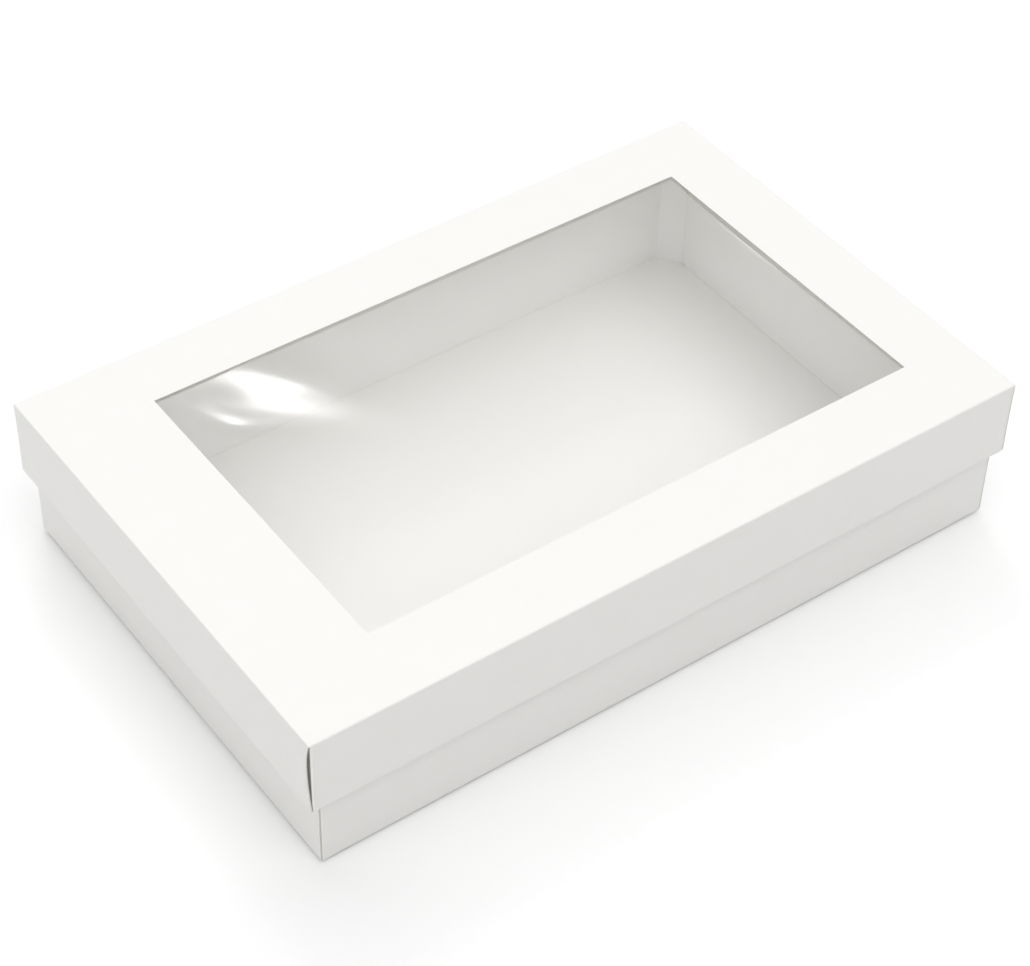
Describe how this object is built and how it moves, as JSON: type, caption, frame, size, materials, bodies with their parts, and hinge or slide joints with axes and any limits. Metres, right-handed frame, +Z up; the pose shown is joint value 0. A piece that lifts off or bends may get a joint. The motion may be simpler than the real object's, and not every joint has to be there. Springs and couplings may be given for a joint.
{
  "type": "windowed box",
  "caption": "Low rectangular folding gift box of white paperboard: a tray with double walls and a lift-off lid whose top has a clear film window.",
  "frame": {"origin": "centre of the tray's underside, where the box rests", "axes": "+X along the long side towards the narrow window margin (right in the picture), +Y towards the back, +Z up"},
  "size_m": [0.3556, 0.2286, 0.0745],
  "materials": {
    "board": "coated white paperboard, satin, printed side out",
    "board_lining": "the same white paperboard where it is turned in and seen from inside",
    "film": "clear glossy film",
    "glue": "dried line of clear glue, slightly milky"
  },
  "bodies": {
    "tray": {"tray_back_left_ear": "board", "tray_back_left_tail": "board_lining", "tray_back_left_web": "board_lining", "tray_back_lining": "board_lining", "tray_back_right_ear": "board", "tray_back_right_tail": "board_lining", "tray_back_right_web": "board_lining", "tray_back_rim": "board", "tray_back_wall": "board", "tray_floor": "board", "tray_front_left_ear": "board", "tray_front_left_tail": "board_lining", "tray_front_left_web": "board_lining", "tray_front_lining": "board_lining", "tray_front_right_ear": "board", "tray_front_right_tail": "board_lining", "tray_front_right_web": "board_lining", "tray_front_rim": "board", "tray_front_wall": "board", "tray_left_rim": "board", "tray_left_wall": "board", "tray_right_rim": "board", "tray_right_wall": "board"},
    "left_flap": {"tray_left_flap": "board_lining"},
    "right_flap": {"tray_right_flap": "board_lining"},
    "lid": {"lid_back_left_ear": "board", "lid_back_lining": "board_lining", "lid_back_right_ear": "board", "lid_back_rim": "board", "lid_back_wall": "board", "lid_front_left_ear": "board", "lid_front_lining": "board_lining", "lid_front_right_ear": "board", "lid_front_rim": "board", "lid_front_wall": "board", "lid_left_flap": "board_lining", "lid_left_rim": "board", "lid_left_wall": "board", "lid_right_flap": "board_lining", "lid_right_rim": "board", "lid_right_wall": "board", "lid_top": "board", "window_film": "film", "window_glue": "glue"}
  },
  "joints": [
    {"name": "lid_lift", "type": "slide", "parent": "tray", "child": "lid", "axis": [0, 0, 1], "range_m": [0, 0.12]},
    {"name": "left_flap_fold", "type": "hinge", "parent": "tray", "child": "left_flap", "pos_m": [-0.17045, 0, 0.07345], "axis": [0, -1, 0], "range_deg": [0, 80]},
    {"name": "right_flap_fold", "type": "hinge", "parent": "tray", "child": "right_flap", "pos_m": [0.17045, 0, 0.07345], "axis": [0, 1, 0], "range_deg": [0, 80]}
  ]
}
